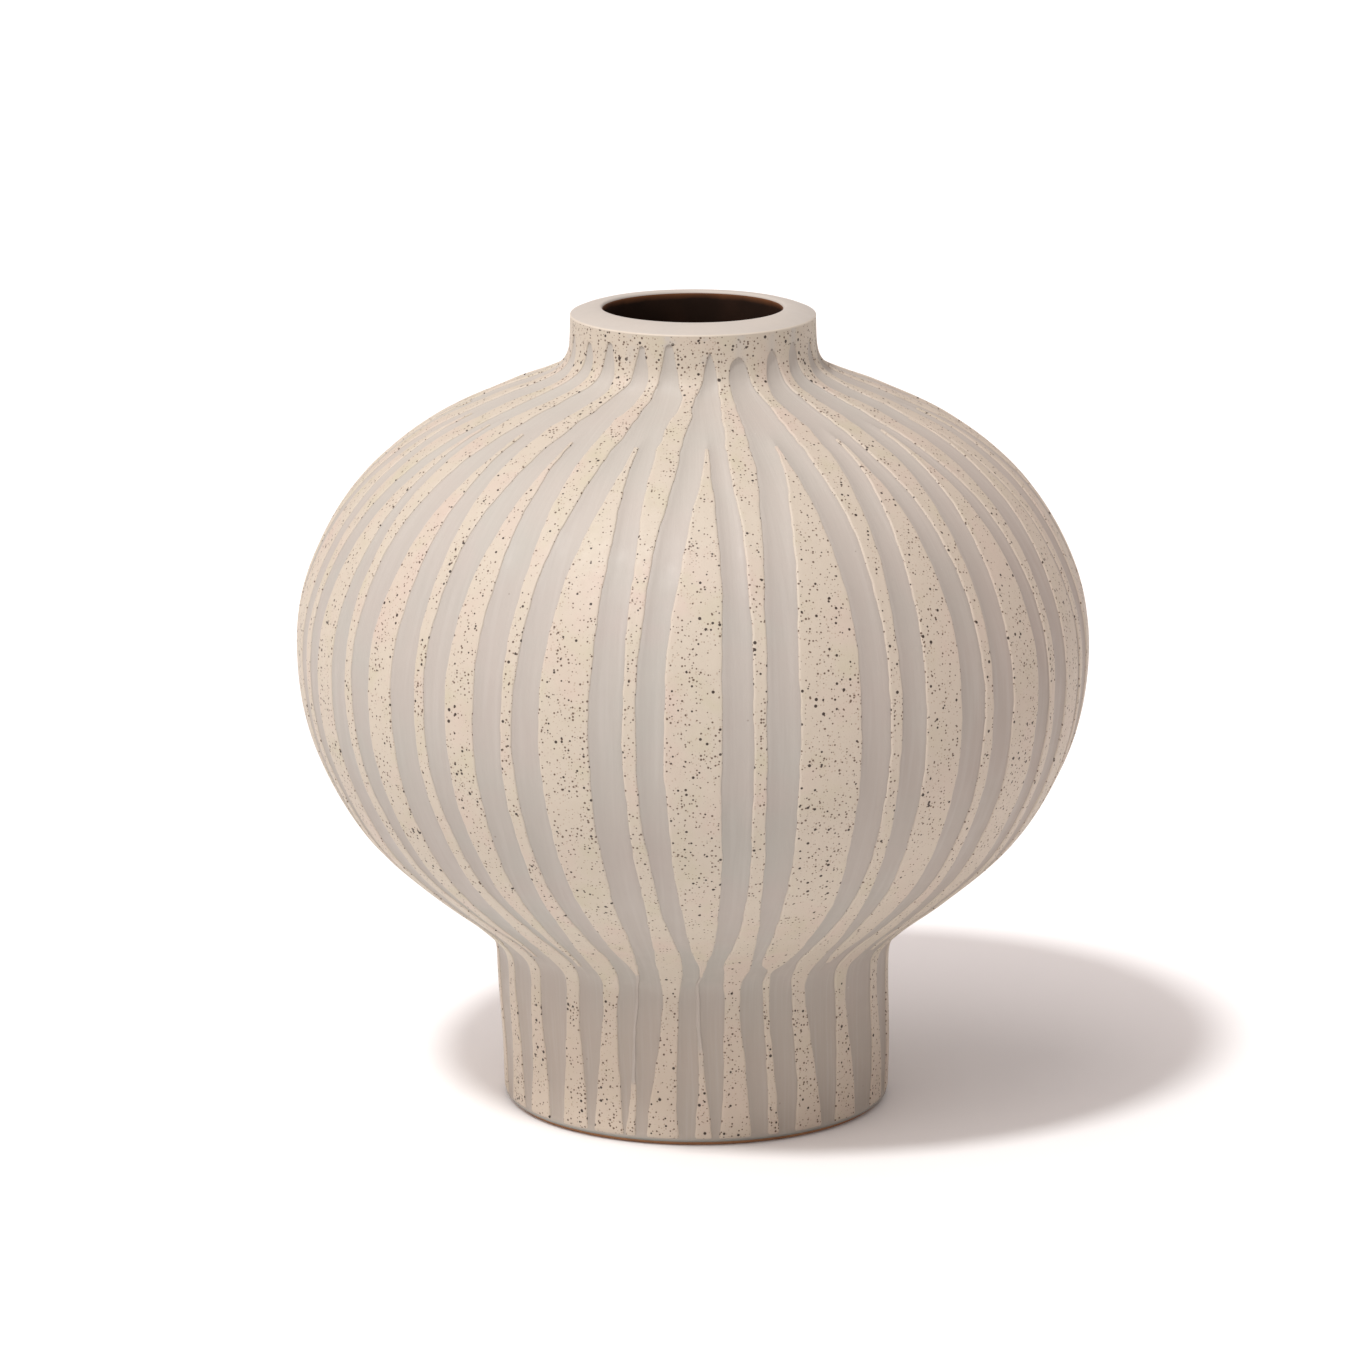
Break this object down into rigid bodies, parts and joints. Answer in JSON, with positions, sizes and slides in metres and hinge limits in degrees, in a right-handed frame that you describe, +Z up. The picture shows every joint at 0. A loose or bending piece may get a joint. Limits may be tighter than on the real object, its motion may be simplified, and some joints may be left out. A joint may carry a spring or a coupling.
{
  "type": "ceramic bud vase",
  "caption": "Squat bulbous ceramic bud vase on a straight foot, with a narrow collared mouth and raised speckled leaf and stem bands.",
  "frame": {"origin": "centre of the foot ring's lower face, on the vase's axis, at the surface it stands on", "axes": "+Z up along the axis to the mouth; -Y is the front, with the widest leaf just right of it; +X is to the right"},
  "size_m": [0.147, 0.147, 0.15],
  "materials": {
    "speckled_slip": "matte cream slip with dense dark iron specks",
    "groove_glaze": "satin warm grey with fine scraped streaks",
    "brown_glaze": "gloss, very dark brown",
    "lip_glaze": "smooth satin cream",
    "raw_clay": "unglazed orange-brown clay"
  },
  "bodies": {
    "root": {"clay_body": "groove_glaze", "interior_glaze": "brown_glaze", "speckled_collar": "speckled_slip", "lip": "lip_glaze", "foot_ring": "raw_clay", "stem_band_01": "speckled_slip", "stem_band_02": "speckled_slip", "stem_band_03": "speckled_slip", "stem_band_04": "speckled_slip", "stem_band_05": "speckled_slip", "stem_band_06": "speckled_slip", "stem_band_07": "speckled_slip", "stem_band_08": "speckled_slip", "stem_band_09": "speckled_slip", "stem_band_10": "speckled_slip", "stem_band_11": "speckled_slip", "stem_band_12": "speckled_slip", "stem_band_13": "speckled_slip", "stem_band_14": "speckled_slip", "stem_band_15": "speckled_slip", "stem_band_16": "speckled_slip", "stem_band_17": "speckled_slip", "stem_band_18": "speckled_slip", "stem_band_19": "speckled_slip", "stem_band_20": "speckled_slip", "stem_band_21": "speckled_slip", "stem_band_22": "speckled_slip", "leaf_band_01": "speckled_slip", "leaf_band_02": "speckled_slip", "leaf_band_03": "speckled_slip", "leaf_band_04": "speckled_slip", "leaf_band_05": "speckled_slip", "leaf_band_06": "speckled_slip", "leaf_band_07": "speckled_slip", "leaf_band_08": "speckled_slip", "leaf_band_09": "speckled_slip", "leaf_band_10": "speckled_slip", "leaf_band_11": "speckled_slip", "leaf_band_12": "speckled_slip", "leaf_band_13": "speckled_slip", "leaf_band_14": "speckled_slip", "leaf_band_15": "speckled_slip", "leaf_band_16": "speckled_slip", "leaf_band_17": "speckled_slip", "leaf_band_18": "speckled_slip", "leaf_band_19": "speckled_slip", "leaf_band_20": "speckled_slip", "leaf_band_21": "speckled_slip", "leaf_band_22": "speckled_slip"}
  },
  "joints": []
}
